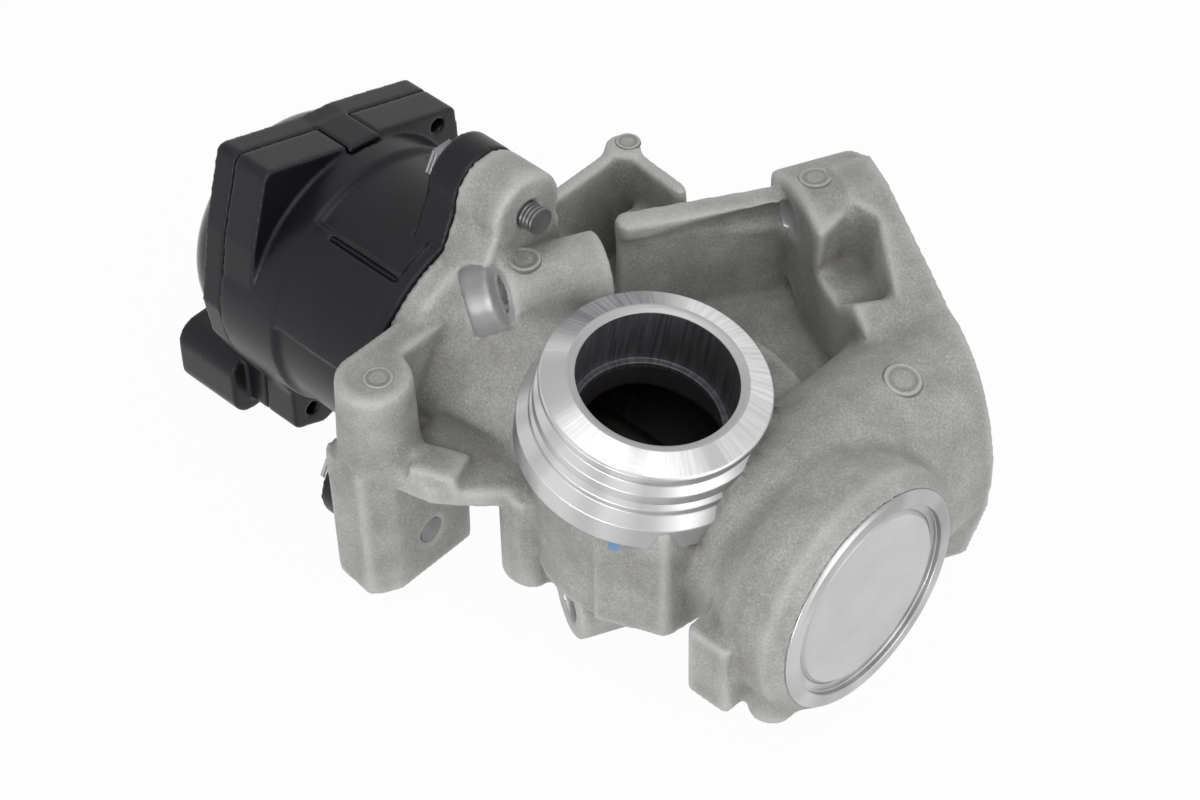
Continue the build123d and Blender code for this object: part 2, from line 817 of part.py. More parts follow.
# Stator: toothed core and its coils
slot_count = 9
slot_outer = 19.4
with BuildPart() as stator_core:
    with BuildSketch(square_at(core_start)):
        Circle(body_bore)
        Circle(stator_bore, mode=Mode.SUBTRACT)
        with PolarLocations((slot_outer + stator_bore + 1.2) / 2, slot_count):
            Rectangle(slot_outer - stator_bore - 1.2, 5.4, mode=Mode.SUBTRACT)
        with PolarLocations(stator_bore + 0.6, slot_count):
            Rectangle(3.0, 1.8, mode=Mode.SUBTRACT)
    extrude(amount=core_end - core_start)
save(stator_core, "stator_core")

coil_overhang = 2.0
with BuildPart() as stator_coils:
    with BuildSketch(square_at(core_start)):
        with PolarLocations((slot_outer + stator_bore + 1.2) / 2, slot_count):
            Rectangle(slot_outer - stator_bore - 1.2, 5.4)
    extrude(amount=core_end - core_start)
    for end, sign in ((core_start, -1), (core_end, 1)):
        with BuildSketch(square_at(end)):
            Circle(slot_outer)
            Circle(stator_bore + 1.2, mode=Mode.SUBTRACT)
        extrude(amount=sign * coil_overhang)
save(stator_coils, "stator_coils")

# Rotor: nut hub, magnet ring and the small magnet that the sensor reads
with BuildPart() as rotor_nut:
    front_journal = front_bearing_station + bearing_width
    nut_section = turned(
        section,
        (front_journal, screw_spindle_radius + fit), (front_journal, bearing_inner),
        (front_bearing_station, bearing_inner), (front_bearing_station, 6.0),
        (core_end + 1.5, 6.0), (core_end + 1.5, hub_radius), (core_start, hub_radius),
        (core_start, 6.0), (rear_bearing_station + bearing_width, 6.0),
        (rear_bearing_station + bearing_width, bearing_inner),
        (rear_bearing_station, bearing_inner), (rear_bearing_station, 3.0),
        (rear_bearing_station - 4.0, 3.0), (rear_bearing_station - 4.0, 0),
        (rear_bearing_station + 1.0, 0), (rear_bearing_station + 1.0, screw_spindle_radius + fit),
    )
    revolve(nut_section, axis=valve_axis)
save(rotor_nut, "rotor_nut")

with BuildPart() as rotor_magnet:
    revolve(tube(core_start, core_end, hub_radius, magnet_radius), axis=valve_axis)
save(rotor_magnet, "rotor_magnet")

with BuildPart() as sensor_magnet:
    revolve(tube(rear_bearing_station - 4.0, rear_bearing_station - 1.6, 3.0, 6.4),
            axis=valve_axis)
save(sensor_magnet, "sensor_magnet")

# Lead screw: threaded length, two flats that stop it turning, and its push tip
push_gap = 0.3
with BuildPart() as lead_screw:
    screw_section = turned(
        section,
        (spindle_end, 0), (spindle_end, screw_spindle_radius - 0.4),
        (spindle_end + 0.4, screw_spindle_radius),
        (stem_end - push_gap - 1.2, screw_spindle_radius), (stem_end - push_gap - 1.2, 2.4),
        (stem_end - push_gap - 0.4, 2.4), (stem_end - push_gap, 1.6), (stem_end - push_gap, 0),
    )
    revolve(screw_section, axis=valve_axis)
    flats_start = front_wall - guide_thickness - travel - 0.5
    with BuildSketch(square_at(flats_start)):
        with Locations((0, flat_half + 2), (0, -flat_half - 2)):
            Rectangle(12, 4)
    extrude(amount=stem_end - flats_start, mode=Mode.SUBTRACT)
save(lead_screw, "lead_screw")
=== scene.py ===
import bmesh
import bpy
import numpy as np
from mathutils import Matrix, Vector
from mathutils.bvhtree import BVHTree


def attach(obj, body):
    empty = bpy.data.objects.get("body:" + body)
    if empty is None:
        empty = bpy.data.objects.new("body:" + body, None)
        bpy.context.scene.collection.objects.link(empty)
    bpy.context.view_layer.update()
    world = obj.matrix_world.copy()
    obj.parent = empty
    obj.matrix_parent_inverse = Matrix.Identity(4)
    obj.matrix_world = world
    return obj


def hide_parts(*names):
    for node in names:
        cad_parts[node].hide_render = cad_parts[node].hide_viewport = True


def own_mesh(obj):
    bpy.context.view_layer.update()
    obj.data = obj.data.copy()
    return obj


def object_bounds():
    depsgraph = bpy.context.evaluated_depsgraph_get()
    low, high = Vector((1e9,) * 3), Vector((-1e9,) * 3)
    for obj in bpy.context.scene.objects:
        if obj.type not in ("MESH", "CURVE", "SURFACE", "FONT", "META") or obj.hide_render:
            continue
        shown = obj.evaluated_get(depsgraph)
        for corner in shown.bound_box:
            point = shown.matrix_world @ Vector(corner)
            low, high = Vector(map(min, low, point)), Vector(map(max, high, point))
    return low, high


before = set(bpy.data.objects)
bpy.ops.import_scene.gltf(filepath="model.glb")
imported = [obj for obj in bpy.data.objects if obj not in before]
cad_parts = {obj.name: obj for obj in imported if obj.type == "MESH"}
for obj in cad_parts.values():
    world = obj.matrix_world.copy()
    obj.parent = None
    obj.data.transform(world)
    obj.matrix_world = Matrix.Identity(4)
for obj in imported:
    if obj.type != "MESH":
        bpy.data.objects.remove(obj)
cad_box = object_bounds()

# Studio: the valve lies on a white sheet in a light tent, seen from above and in front
# with a long lens. The sheet and the tent are white, and the lamps stay soft.
studio = bpy.context.scene
studio.view_settings.view_transform = "Standard"

lens = bpy.data.cameras.new("camera")
lens.lens = 102
lens.sensor_width = 36
lens.clip_start = 0.01
lens.clip_end = 20
camera = bpy.data.objects.new("camera", lens)
studio.collection.objects.link(camera)
view_right = Vector((0.35487, 0.93477, -0.01650))
view_up = Vector((-0.65761, 0.26213, 0.70628))
view_back = Vector((0.66453, -0.23979, 0.70774))
camera_place = (0.38280, -0.20406, 0.43284)
camera.matrix_world = (Matrix.Translation(camera_place)
                       @ Matrix((view_right, view_up, view_back)).transposed().to_4x4())
studio.camera = camera


def put(tree, kind, inputs=None, **fields):
    """Adds a shader node, sets its fields, and sets or links its inputs by name or number."""
    made = tree.nodes.new(kind)
    for name, value in fields.items():
        setattr(made, name, value)
    for name, value in (inputs or {}).items():
        if isinstance(value, bpy.types.NodeSocket):
            tree.links.new(value, made.inputs[name])
        else:
            made.inputs[name].default_value = value
    return made


def seen_white(tree):
    """One for the rays of the camera, of reflections and of clear pieces, nought for the light."""
    path = put(tree, "ShaderNodeLightPath")
    seen = put(tree, "ShaderNodeMath", {0: path.outputs["Is Camera Ray"],
                                        1: path.outputs["Is Glossy Ray"]}, operation="MAXIMUM")
    return put(tree, "ShaderNodeMath", {0: seen.outputs[0],
                                        1: path.outputs["Is Transmission Ray"]}, operation="MAXIMUM")


white = (1, 1, 1, 1)
tent_light = 0.34
tent = bpy.data.worlds.new("tent")
studio.world = tent
tent.use_nodes = True
tree = tent.node_tree
tree.nodes.clear()
strength = put(tree, "ShaderNodeMapRange",
               {"Value": seen_white(tree).outputs[0], "To Min": tent_light, "To Max": 1.0})
glow = put(tree, "ShaderNodeBackground", {"Color": white, "Strength": strength.outputs[0]})
put(tree, "ShaderNodeOutputWorld", {"Surface": glow.outputs[0]})

sheet_grey = (0.86, 0.86, 0.86, 1)
sheet_glow = 0.97
sheet_size = 3.0
sheet_height = cad_box[0].z - 0.0002
sheet_corners = ((-sheet_size, -sheet_size), (sheet_size, -sheet_size),
                 (sheet_size, sheet_size), (-sheet_size, sheet_size))
sheet_mesh = bpy.data.meshes.new("sheet")
sheet_mesh.from_pydata([(x, y, sheet_height) for x, y in sheet_corners], [], [(0, 1, 2, 3)])
sheet = bpy.data.objects.new("sheet", sheet_mesh)
studio.collection.objects.link(sheet)
sheet_paint = bpy.data.materials.new("white_sheet")
sheet_paint.use_nodes = True
tree = sheet_paint.node_tree
tree.nodes.clear()
matt = put(tree, "ShaderNodeBsdfDiffuse", {"Color": sheet_grey})
clear = put(tree, "ShaderNodeEmission", {"Color": white, "Strength": 1.0})
share = put(tree, "ShaderNodeMapRange",
            {"Value": seen_white(tree).outputs[0], "To Min": 0.0, "To Max": sheet_glow})
both = put(tree, "ShaderNodeMixShader", {0: share.outputs[0], 1: matt.outputs[0], 2: clear.outputs[0]})
put(tree, "ShaderNodeOutputMaterial", {"Surface": both.outputs[0]})
sheet_mesh.materials.append(sheet_paint)

middle = (cad_box[0] + cad_box[1]) / 2
for name, direction, distance, size, power in (
        ("front_lamp", view_back * 0.8 + view_up * 0.3, 0.75, 0.50, 1.2),
        ("low_lamp", view_back * 0.4 - view_right * 0.5 - view_up * 0.65, 0.75, 0.40, 6.2),
        ("end_lamp", view_back * 0.55 + view_right * 0.6 - view_up * 0.2, 0.80, 0.60, 1.7)):
    lamp = bpy.data.lights.new(name, "AREA")
    lamp.size = size
    lamp.energy = power
    holder = bpy.data.objects.new(name, lamp)
    studio.collection.objects.link(holder)
    toward = direction.normalized()
    holder.matrix_world = (Matrix.Translation(middle + toward * distance)
                           @ toward.to_track_quat("Z", "Y").to_matrix().to_4x4())

# Valve housing: one aluminium die casting, sand-blasted to a matt warm grey, with soft
# fillets where its walls meet. Its mounting face, joint face and bolt seat are milled.
# The turned spout and the turned ring round the plug are pieces of their own below.
mm = 0.001
lean = np.radians(26.0)
valve_dir = np.array([np.cos(lean), np.sin(lean), 0.0])
side_dir = np.array([-np.sin(lean), np.cos(lean), 0.0])
plug_centre = np.array([37.8, -32.0, 0.0]) * mm
spout_tilt = np.radians(11.0)
spout_dir = valve_dir * np.sin(spout_tilt) + np.array([0.0, 0.0, np.cos(spout_tilt)])
spout_centre = plug_centre + valve_dir * -41.9 * mm + side_dir * -6.8 * mm + np.array([0, 0, 30.2]) * mm


def point_array(mesh):
    """The vertices of a mesh as rows of x, y and z."""
    flat = np.empty(len(mesh.vertices) * 3, np.float32)
    mesh.vertices.foreach_get("co", flat)
    return flat.reshape(-1, 3).astype(float)


def edge_array(mesh):
    """The edges of a mesh as pairs of vertex numbers."""
    flat = np.empty(len(mesh.edges) * 2, np.int32)
    mesh.edges.foreach_get("vertices", flat)
    return flat.reshape(-1, 2)


def relaxed(points, edges, weight, rounds):
    """Each round moves every point towards the mean of its neighbours, by its own weight of the way."""
    first, second = edges[:, 0], edges[:, 1]
    count = len(points)
    shared = np.bincount(edges.ravel(), minlength=count).clip(1)
    for _ in range(rounds):
        mean = np.stack([np.bincount(first, points[second, i], count)
                         + np.bincount(second, points[first, i], count) for i in range(3)], 1)
        points = points + weight[:, None] * (mean / shared[:, None] - points)
    return points


def shown(name, mesh):
    """An object for a mesh, in the scene, at the origin and smoothly shaded."""
    mesh.shade_smooth()
    piece = bpy.data.objects.new(name, mesh)
    studio.collection.objects.link(piece)
    return piece


def settled(piece):
    """The piece with its modifiers applied to its mesh."""
    done = bpy.data.meshes.new_from_object(piece.evaluated_get(bpy.context.evaluated_depsgraph_get()))
    piece.modifiers.clear()
    piece.data = done
    return piece


def solid_copy(node, name):
    """A copy of a node's solid as a piece of its own, with its doubles merged."""
    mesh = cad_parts[node].data.copy()
    mesh.materials.clear()
    work = bmesh.new()
    work.from_mesh(mesh)
    bmesh.ops.remove_doubles(work, verts=work.verts, dist=2e-6)
    work.to_mesh(mesh)
    work.free()
    return shown(name, mesh)


def moulded(node, name, voxel):
    """A copy of a node's solid, remeshed in even faces of one voxel."""
    piece = solid_copy(node, name)
    remesh = piece.modifiers.new("even", "REMESH")
    remesh.mode = "VOXEL"
    remesh.voxel_size = voxel
    remesh.use_smooth_shade = True
    return settled(piece)


def thinned(piece, most):
    """The piece with its faces merged down to the given number of triangles."""
    count = sum(len(face.vertices) - 2 for face in piece.data.polygons)
    if count > most:
        fewer = piece.modifiers.new("fewer", "DECIMATE")
        fewer.ratio = most / count
        settled(piece)
    piece.data.shade_smooth()
    return piece


def along(points, origin, direction):
    """Distance along an axis, and radius from it."""
    offset = points - origin
    reach = offset @ direction
    return reach, np.linalg.norm(offset - reach[:, None] * direction, axis=1)


def keep_values(mesh, name, values):
    """Stores one number for each vertex, which a material can read by name."""
    store = mesh.attributes.new(name, "FLOAT", "POINT")
    store.data.foreach_set("value", values.astype(np.float32))


def eased_step(value, low, high):
    """Nought below low, one above high, and a smooth rise between."""
    t = ((value - low) / (high - low)).clip(0, 1)
    return t * t * (3 - 2 * t)


def facing_array(mesh):
    """The normals of a mesh's vertices as rows of x, y and z."""
    flat = np.empty(len(mesh.vertices) * 3, np.float32)
    mesh.vertices.foreach_get("normal", flat)
    return flat.reshape(-1, 3).astype(float)


# The inner corners of the casting are filled out softly and its outer edges stay crisper,
# so each point's weight follows how far it lies below the mean of its surroundings
upper_bolt = np.array([-36.0, 0.0, 20.0]) * mm
lower_bolt = np.array([3.1, 0.0, -20.0]) * mm
drill_dir = np.array([0.0, -1.0, 0.0])
bolt_hole = 3.5 * mm
edge_weight, corner_weight = 0.13, 0.5
drilled_weight, spout_weight, mount_weight = 0.1, 0.06, 0.05
dip_rounds, fillet_rounds, broad_rounds = 16, 22, 45
housing_voxel = 0.62 * mm
housing_triangles = 196000
housing = moulded("valve_housing", "cast_housing", housing_voxel)
mesh = housing.data
edges = edge_array(mesh)
raw = point_array(mesh)
dip = ((relaxed(raw, edges, np.full(len(raw), 0.5), dip_rounds) - raw) * facing_array(mesh)).sum(1)
weight = edge_weight + corner_weight * eased_step(dip, 0.03 * mm, 0.22 * mm)

# Machined places keep their shape by a low weight: the rooms and holes of both bolts, the
# bore behind the plug, the actuator's room, the spout and the mounting face
station, station_radius = along(raw, plug_centre, valve_dir)
for origin in (upper_bolt, lower_bolt):
    bolt_reach, bolt_radius = along(raw, origin, drill_dir)
    weight[(bolt_radius < 6.9 * mm) & (bolt_reach > 68 * mm)] = drilled_weight
    weight[bolt_radius < 4.4 * mm] = drilled_weight
weight[(station_radius < 16.6 * mm) & (station < -1.0 * mm)] = drilled_weight
weight[(station_radius < 27.0 * mm) & (station < -84.0 * mm)] = edge_weight
height, reach = along(raw, spout_centre, spout_dir)
weight[(reach < 23.2 * mm) & (height > -18.9 * mm)] = spout_weight
weight[raw[:, 1] > -1.3 * mm] = mount_weight
points = relaxed(raw, edges, weight, fillet_rounds)

# The wall of the upper bolt's hole through its boss goes back on the drilled radius, and
# the mounting and joint faces go back into their planes
bolt_reach, bolt_radius = along(raw, upper_bolt, drill_dir)
drilled = (abs(bolt_radius - bolt_hole) < 0.5 * mm) & (bolt_reach > 51.0 * mm) & (bolt_reach < 71.4 * mm)
hole_middle = upper_bolt + bolt_reach[:, None] * drill_dir
round_wall = hole_middle + (raw - hole_middle) * (bolt_hole / bolt_radius.clip(1e-6))[:, None]
points[drilled] = round_wall[drilled]
mount_start, joint_start = -0.25 * mm, -94.75 * mm
milled_face = raw[:, 1] > mount_start
joint_face = station < joint_start
points[milled_face, 1] = raw[milled_face, 1]
drift = (points - raw) @ valve_dir
points[joint_face] -= drift[joint_face, None] * valve_dir

# Hollows and ridges are where a point lies below or above a much smoother copy of the skin
# The casting's material paints shade, with some dirt, into the hollows and a painted highlight along the
# ridges
broad = relaxed(points, edges, np.full(len(points), 0.6), broad_rounds)
mesh.vertices.foreach_set("co", points.astype(np.float32).ravel())
mesh.update()
lift = ((broad - points) * facing_array(mesh)).sum(1)
keep_values(mesh, "hollow", eased_step(lift, 0.05 * mm, 0.9 * mm))
keep_values(mesh, "ridge", eased_step(-lift, 0.12 * mm, 0.7 * mm))

# Where the turned pieces go, the cast skin is drawn back just under their surfaces: inwards
# from the spout's outside, outwards from its bore, and down from its ledge and the plug's ring
spout_outside = np.array([
    (-20.4, 19.5), (-18.75, 19.5), (-18.0, 22.9), (-13.1, 22.9), (-11.1, 20.9), (-10.0, 20.9), (-9.0, 19.9),
    (-8.5, 20.6), (-6.4, 20.6), (-5.2, 19.2), (-3.9, 19.2), (-3.2, 20.2), (-2.1, 20.2), (-1.7, 19.8),
    (0.0, 15.6)]) * mm
spout_bore, spout_ledge = 14.1 * mm, -13.0 * mm
under_skin = 0.42 * mm
height, reach = along(points, spout_centre, spout_dir)
outside = np.interp(height, spout_outside[:, 0], spout_outside[:, 1])
target = np.minimum(reach, outside - under_skin)
target = np.where(height > -12.9 * mm, np.maximum(target, spout_bore + under_skin), target)

# The skin is caught far out on the side of the spout that stands free, and close to the
# spout where the casting rises beside it or below its collar
free_catch, close_catch, low_catch = 2.0, 0.8, 0.25
square = (points - spout_centre) - height[:, None] * spout_dir
upper_part = height > -12.6 * mm
free_side = upper_part & (square @ valve_dir < 0.62 * reach)
near_spout = outside + np.select([free_side, upper_part], [free_catch, close_catch], low_catch) * mm
moved = (reach > 12.7 * mm) & (reach < near_spout) & (height > -20.0 * mm)
points[moved] += (square * (target / reach.clip(1e-6) - 1)[:, None])[moved]
sink = (height + under_skin).clip(0)
ledge = (reach > 12.8 * mm) & (reach < 14.6 * mm) & (abs(height - spout_ledge) < 0.5 * mm)
sink[ledge] = under_skin
points[moved] -= (sink[:, None] * spout_dir)[moved]
station, station_radius = along(points, plug_centre, valve_dir)
ring_zone = (station > -1.2 * mm) & (station_radius < 21.5 * mm)
bead_face, step_face = -0.25, -0.8
ring_face = np.where(station_radius > 18.7 * mm, bead_face, step_face) * mm
points[ring_zone] -= ((station - ring_face).clip(0)[:, None] * valve_dir)[ring_zone]
mesh.vertices.foreach_set("co", points.astype(np.float32).ravel())
mesh.update()
thinned(housing, housing_triangles)

# The milled mounting face and joint face are dead flat, so their faces are shaded flat
mesh = housing.data
facing, centres = np.empty(len(mesh.polygons) * 3), np.empty(len(mesh.polygons) * 3)
mesh.polygons.foreach_get("normal", facing)
mesh.polygons.foreach_get("center", centres)
facing, centres = facing.reshape(-1, 3), centres.reshape(-1, 3)
on_mount = (centres[:, 1] > -0.05 * mm) & (facing[:, 1] > 0.98)
on_joint = ((centres - plug_centre) @ valve_dir < -94.9 * mm) & (facing @ valve_dir < -0.98)
mesh.polygons.foreach_set("use_smooth", ~(on_mount | on_joint))


def group(name, inputs, outputs):
    """A shader node group with named number inputs and outputs, and its two end nodes."""
    made = bpy.data.node_groups.new(name, "ShaderNodeTree")
    for label, value in inputs.items():
        socket = made.interface.new_socket(label, in_out="INPUT", socket_type="NodeSocketFloat")
        socket.default_value = value
    for label in outputs:
        made.interface.new_socket(label, in_out="OUTPUT", socket_type="NodeSocketFloat")
    return made, put(made, "NodeGroupInput"), put(made, "NodeGroupOutput")


# Grain of a cast, blasted or moulded face: fine grit, coarse waviness and cloudy tone
grain, given, result = group("grain", {"Grit": 1500.0, "Cloud": 90.0}, ("Tone", "Height", "Speck", "Fine"))
place = put(grain, "ShaderNodeTexCoord")
grit = put(grain, "ShaderNodeTexNoise", {"Vector": place.outputs["Object"], "Scale": given.outputs["Grit"],
                                         "Detail": 3.0, "Roughness": 0.65})
coarser = put(grain, "ShaderNodeMath", {0: given.outputs["Grit"], 1: 0.22}, operation="MULTIPLY")
wavy = put(grain, "ShaderNodeTexNoise", {"Vector": place.outputs["Object"], "Scale": coarser.outputs[0],
                                         "Detail": 2.0})
cloud = put(grain, "ShaderNodeTexNoise",
            {"Vector": place.outputs["Object"], "Scale": given.outputs["Cloud"],
             "Detail": 5.0, "Roughness": 0.6})
height_mix = put(grain, "ShaderNodeMix", {0: 0.45, 2: grit.outputs[0], 3: wavy.outputs[0]})
speck = put(grain, "ShaderNodeMapRange", {"Value": grit.outputs[0], "From Min": 0.62, "From Max": 0.74})
tone = put(grain, "ShaderNodeMapRange", {"Value": cloud.outputs[0], "From Min": 0.3, "From Max": 0.7})
fine = put(grain, "ShaderNodeMapRange", {"Value": grit.outputs[0], "From Min": 0.36, "From Max": 0.64})
for label, made in (("Tone", tone), ("Height", height_mix), ("Speck", speck), ("Fine", fine)):
    grain.links.new(made.outputs[0], result.inputs[label])


def material(name, **plain):
    """A node material; plain values are set on the shader's own sockets, with _ for a space."""
    made = bpy.data.materials.new(name)
    made.use_nodes = True
    shader = made.node_tree.nodes["Principled BSDF"]
    for label, value in plain.items():
        shader.inputs[label.replace("_", " ")].default_value = value
    return made, made.node_tree, shader


def blended(tree, factor, low, high):
    """A colour between two, by a mask or a plain factor."""
    return put(tree, "ShaderNodeMix", {0: factor, 6: low, 7: high}, data_type="RGBA").outputs[2]


def ranged(tree, value, low, high):
    """A number from low to high as a mask goes from nought to one."""
    return put(tree, "ShaderNodeMapRange", {"Value": value, "To Min": low, "To Max": high}).outputs[0]


def placed(tree, made, **values):
    """A node group placed in a material with its own values."""
    use = put(tree, "ShaderNodeGroup")
    use.node_tree = made
    for label, value in values.items():
        use.inputs[label].default_value = value
    return use


def bumped(tree, shader, height, depth):
    """Surface relief of the given depth in metres."""
    relief = put(tree, "ShaderNodeBump", {"Height": height, "Distance": depth, "Strength": 1.0})
    tree.links.new(relief.outputs[0], shader.inputs["Normal"])


def compared(tree, value, limit, under=True):
    """One where a number is under the limit, or over it, and nought elsewhere."""
    return put(tree, "ShaderNodeMath", {0: value, 1: limit},
               operation="LESS_THAN" if under else "GREATER_THAN").outputs[0]


def joined(tree, values, way):
    """Masks put together: MULTIPLY where all must hold, MAXIMUM where one is enough."""
    total = values[0]
    for value in values[1:]:
        total = put(tree, "ShaderNodeMath", {0: total, 1: value}, operation=way).outputs[0]
    return total


def round_axis(tree, place, origin, direction):
    """Distance along an axis from its origin, and radius from it, at each point of the surface."""
    offset = put(tree, "ShaderNodeVectorMath", {0: place.outputs["Object"], 1: list(origin)},
                 operation="SUBTRACT").outputs[0]
    reach = put(tree, "ShaderNodeVectorMath", {0: offset, 1: list(direction)}, operation="DOT_PRODUCT")
    arm = put(tree, "ShaderNodeVectorMath", {0: offset, 1: list(direction)}, operation="CROSS_PRODUCT")
    radius = put(tree, "ShaderNodeVectorMath", {0: arm.outputs[0]}, operation="LENGTH")
    return reach.outputs["Value"], radius.outputs["Value"]


cast_grey = (0.345, 0.339, 0.325, 1)
cast_pale = (0.57, 0.565, 0.552, 1)
cast_dark = (0.16, 0.156, 0.149, 1)
cast_light = (0.72, 0.717, 0.705, 1)
milled_grey = (0.66, 0.662, 0.665, 1)
passage_black = (0.022, 0.021, 0.02, 1)
dab_blue = (0.13, 0.33, 0.62, 1)
cast_metal, tree, shader = material("blasted_casting")
use = placed(tree, grain, Grit=2200.0, Cloud=110.0)
hollow = put(tree, "ShaderNodeAttribute", attribute_name="hollow")
ridge = put(tree, "ShaderNodeAttribute", attribute_name="ridge")
place = put(tree, "ShaderNodeTexCoord")
colour = blended(tree, use.outputs["Tone"], cast_grey, cast_pale)
sandy = ranged(tree, use.outputs["Fine"], 0.4, 0.0)
colour = blended(tree, sandy, colour, cast_dark)
faint = ranged(tree, use.outputs["Speck"], 0.0, 0.5)
colour = blended(tree, faint, colour, cast_light)
# Painted shade, with some dirt: the hollows are darkened towards the dark colour
shade = ranged(tree, hollow.outputs["Fac"], 0.0, 0.92)
colour = blended(tree, shade, colour, cast_dark)
# Painted highlight: the ridges of the casting are painted lighter
ridge_highlight = ranged(tree, ridge.outputs["Fac"], 0.0, 0.5)
colour = blended(tree, ridge_highlight, colour, cast_light)

# Milled places: the mounting and joint faces, the bolt holes and the upper bolt's seat
station, radius = round_axis(tree, place, plug_centre, valve_dir)
bolt_reach, bolt_radius = round_axis(tree, place, upper_bolt, drill_dir)
low_reach, low_radius = round_axis(tree, place, lower_bolt, drill_dir)


def between(tree, reach, radius, start, end, size):
    """One inside a cylinder round an axis, from start to end along it, and nought outside."""
    return joined(tree, [compared(tree, radius, size * mm), compared(tree, reach, start * mm, False),
                         compared(tree, reach, end * mm)], "MULTIPLY")


facing_back = put(tree, "ShaderNodeVectorMath", {0: place.outputs["Normal"], 1: list(valve_dir)},
                  operation="DOT_PRODUCT").outputs["Value"]
joint_reach, seat_reach, hole_reach = 31.0, 6.6, 3.62
joint_mill = joined(tree, [between(tree, station, radius, -95.3, -94.85, joint_reach),
                           compared(tree, facing_back, -0.9)], "MULTIPLY")
mill = joined(tree, [between(tree, bolt_reach, bolt_radius, 70.8, 77.7, seat_reach),
                     between(tree, bolt_reach, bolt_radius, 0.0, 16.1, hole_reach),
                     between(tree, low_reach, low_radius, 0.0, 74.1, hole_reach),
                     compared(tree, bolt_reach, 0.12 * mm), joint_mill], "MAXIMUM")
colour = blended(tree, mill, colour, milled_grey)

# The walls that the gas passes are painted near black, clear of the upper bolt's milled seat
passage_cover = 0.94
height, spout_radius = round_axis(tree, place, spout_centre, spout_dir)
gas_room = joined(tree, [between(tree, station, radius, -94.0, -3.6, 16.4),
                         compared(tree, bolt_radius, 6.7 * mm, False)], "MULTIPLY")
passage_mask = joined(tree, [gas_room, between(tree, height, spout_radius, -31.0, -12.4, 13.4)], "MAXIMUM")
colour = blended(tree, joined(tree, [passage_mask, passage_cover], "MULTIPLY"), colour, passage_black)

# Dabs of blue marking paint with ragged edges, each at its spot and of its size
paint_dabs = (((13.0, -76.9, 9.0), 2.5), ((17.5, -70.2, 8.0), 1.3))
paint_cover, ragged_depth = 0.75, 3.2 * mm
ragged = put(tree, "ShaderNodeTexNoise", {"Vector": place.outputs["Object"], "Scale": 520.0})
for spot, size in paint_dabs:
    gap = put(tree, "ShaderNodeVectorMath", {0: place.outputs["Object"], 1: [v * mm for v in spot]},
              operation="DISTANCE")
    edge = put(tree, "ShaderNodeMath", {0: ragged.outputs[0], 1: ragged_depth, 2: gap.outputs["Value"]},
               operation="MULTIPLY_ADD")
    dab = put(tree, "ShaderNodeMapRange",
              {"Value": edge.outputs[0], "From Min": (size + 1.3) * mm,
               "From Max": (size + 1.9) * mm, "To Min": paint_cover, "To Max": 0.0})
    colour = blended(tree, dab.outputs[0], colour, dab_blue)
tree.links.new(colour, shader.inputs["Base Color"])
rough = ranged(tree, use.outputs["Tone"], 0.52, 0.62)
smooth = put(tree, "ShaderNodeMix", {0: mill, 2: rough, 3: 0.34}).outputs[0]
tree.links.new(smooth, shader.inputs["Roughness"])
bare = joined(tree, [ranged(tree, mill, 0.3, 0.5), ranged(tree, passage_mask, 1.0, 0.1)], "MULTIPLY")
tree.links.new(bare, shader.inputs["Metallic"])
relief = joined(tree, [use.outputs["Height"], ranged(tree, mill, 1.0, 0.12)], "MULTIPLY")
bumped(tree, shader, relief, 0.36 * mm)
housing.data.materials.append(cast_metal)
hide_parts("valve_housing")
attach(housing, "housing")

# Pin marks: round ejector-pin prints left on the casting's flat places, each a shallow
# disc with a raised rim, part of the casting and of the same finish
skin = BVHTree.FromPolygons([Vector(p) for p in point_array(housing.data)],
                            [tuple(face.vertices) for face in housing.data.polygons])
mark_around = 40
mark_search, mark_lift = 6, 0.05


def pin_mark(name, spot, facing, size):
    """Rings of points round a spot on the casting: the height over the surface follows the profile
    of radius and rise, first a flat disc, then a rounded rim, then a skirt below the surface."""
    facing = Vector(facing).normalized()
    hit, normal, _, _ = skin.ray_cast(Vector(spot) * mm + facing * mark_search * mm, -facing)
    normal = normal.normalized()
    first = normal.orthogonal().normalized()
    second = normal.cross(first)
    profile = np.array([(0.0, -0.02), (0.45, -0.02), (0.74, 0.0), (0.82, 0.1), (0.9, 0.16), (0.98, 0.1),
                        (1.06, -0.05), (1.12, -0.4)])
    turn = np.linspace(0, 2 * np.pi, mark_around, endpoint=False)
    ring = (np.cos(turn)[:, None] * np.array(first) + np.sin(turn)[:, None] * np.array(second)) * size * mm
    rings = (np.array(hit) + profile[1:, 0, None, None] * ring[None]
             + profile[1:, 1, None, None] * mm * np.array(normal) + mark_lift * mm * np.array(normal))
    count = len(profile) - 1
    middle_point = np.array(hit) + (profile[0, 1] + mark_lift) * mm * np.array(normal)
    verts = np.vstack([rings.reshape(-1, 3), middle_point])
    row, col = np.meshgrid(np.arange(count - 1), np.arange(mark_around), indexing="ij")
    nxt = (col + 1) % mark_around
    faces = np.stack([row * mark_around + col, (row + 1) * mark_around + col,
                      (row + 1) * mark_around + nxt, row * mark_around + nxt], -1).reshape(-1, 4)
    fan = [(len(verts) - 1, i, (i + 1) % mark_around) for i in range(mark_around)]
    mark = bpy.data.meshes.new(name)
    mark.from_pydata(verts.tolist(), [], faces.tolist() + fan)
    return mark
